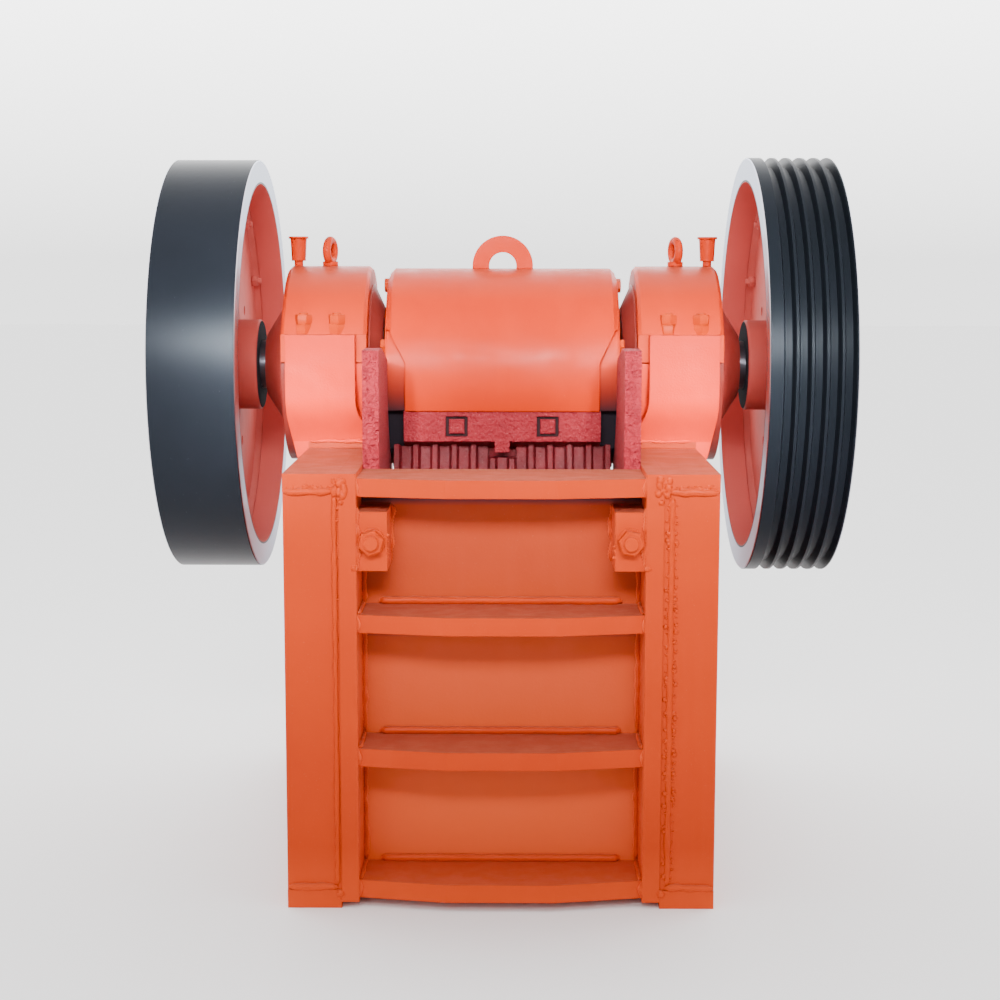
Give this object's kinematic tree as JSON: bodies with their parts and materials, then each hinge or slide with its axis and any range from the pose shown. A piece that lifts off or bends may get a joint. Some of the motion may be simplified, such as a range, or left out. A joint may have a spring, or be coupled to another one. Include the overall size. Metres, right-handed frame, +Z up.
{
  "type": "jaw crusher",
  "caption": "Small single-toggle jaw crusher: welded frame, swing jaw on an eccentric shaft between split bearing housings, flywheel and grooved pulley.",
  "frame": {"origin": "on the floor, at the centre of the four foot bolt holes", "axes": "+X along the eccentric shaft towards the grooved pulley, +Y from the front wall to the rear wall, +Z up"},
  "size_m": [1.224, 1.083, 1.217],
  "materials": {
    "frame_paint": "orange machine enamel over welded plate, semi-gloss",
    "housing_paint": "orange enamel over cast iron, semi-gloss",
    "casting_paint": "orange enamel over a smooth casting, semi-gloss",
    "wear_plate_paint": "rose red paint over rough manganese steel castings",
    "wheel_black": "black enamel, satin; the inside of the rim is orange red and its faces are bare",
    "wheel_inside_paint": "orange red enamel over cast iron",
    "bare_steel": "machined steel",
    "dark_iron": "plain cast iron"
  },
  "bodies": {
    "frame": {"adjusting_block": "dark_iron", "cap_eyes": "housing_paint", "cheek_plates": "wear_plate_paint", "corner_brackets": "frame_paint", "feet": "frame_paint", "fixed_jaw_plate": "wear_plate_paint", "frame_toggle_seat": "dark_iron", "front_posts": "frame_paint", "front_ribs": "frame_paint", "front_wall": "frame_paint", "grease_cups": "housing_paint", "guide_bars": "frame_paint", "inner_covers": "housing_paint", "left_cap": "housing_paint", "left_pedestal": "housing_paint", "left_side_plate": "frame_paint", "outer_covers": "housing_paint", "rear_posts": "frame_paint", "rear_ribs": "frame_paint", "rear_wall": "frame_paint", "right_cap": "housing_paint", "right_pedestal": "housing_paint", "right_side_plate": "frame_paint", "rod_nuts": "bare_steel", "shim_pack": "dark_iron", "side_ribs": "frame_paint", "spring_washers": "bare_steel", "tension_rod": "bare_steel", "tension_spring": "bare_steel", "toggle_plate": "dark_iron", "top_flanges": "frame_paint"},
    "rotor": {"eccentric_shaft": "bare_steel", "flywheel_rim": "wheel_black", "flywheel_web": "wheel_inside_paint", "pulley_rim": "wheel_black", "pulley_web": "wheel_inside_paint", "counterweights": "wheel_inside_paint"},
    "swing": {"swing_jaw": "casting_paint", "swing_covers": "casting_paint", "lifting_eye": "casting_paint", "moving_jaw_plate": "wear_plate_paint", "clamp_bar": "wear_plate_paint", "jaw_toggle_seat": "dark_iron", "rod_ears": "casting_paint", "rod_pin": "bare_steel"}
  },
  "joints": [
    {"name": "shaft_turn", "type": "hinge", "parent": "frame", "child": "rotor", "pos_m": [0, 0.061, 0.842], "axis": [1, 0, 0], "continuous": true},
    {"name": "swing_orbit", "type": "hinge", "parent": "rotor", "child": "swing", "pos_m": [0, 0.061, 0.832], "axis": [1, 0, 0], "continuous": true}
  ],
  "couplings": [
    {"joint": "swing_orbit", "follows": "shaft_turn", "ratio": -1}
  ]
}
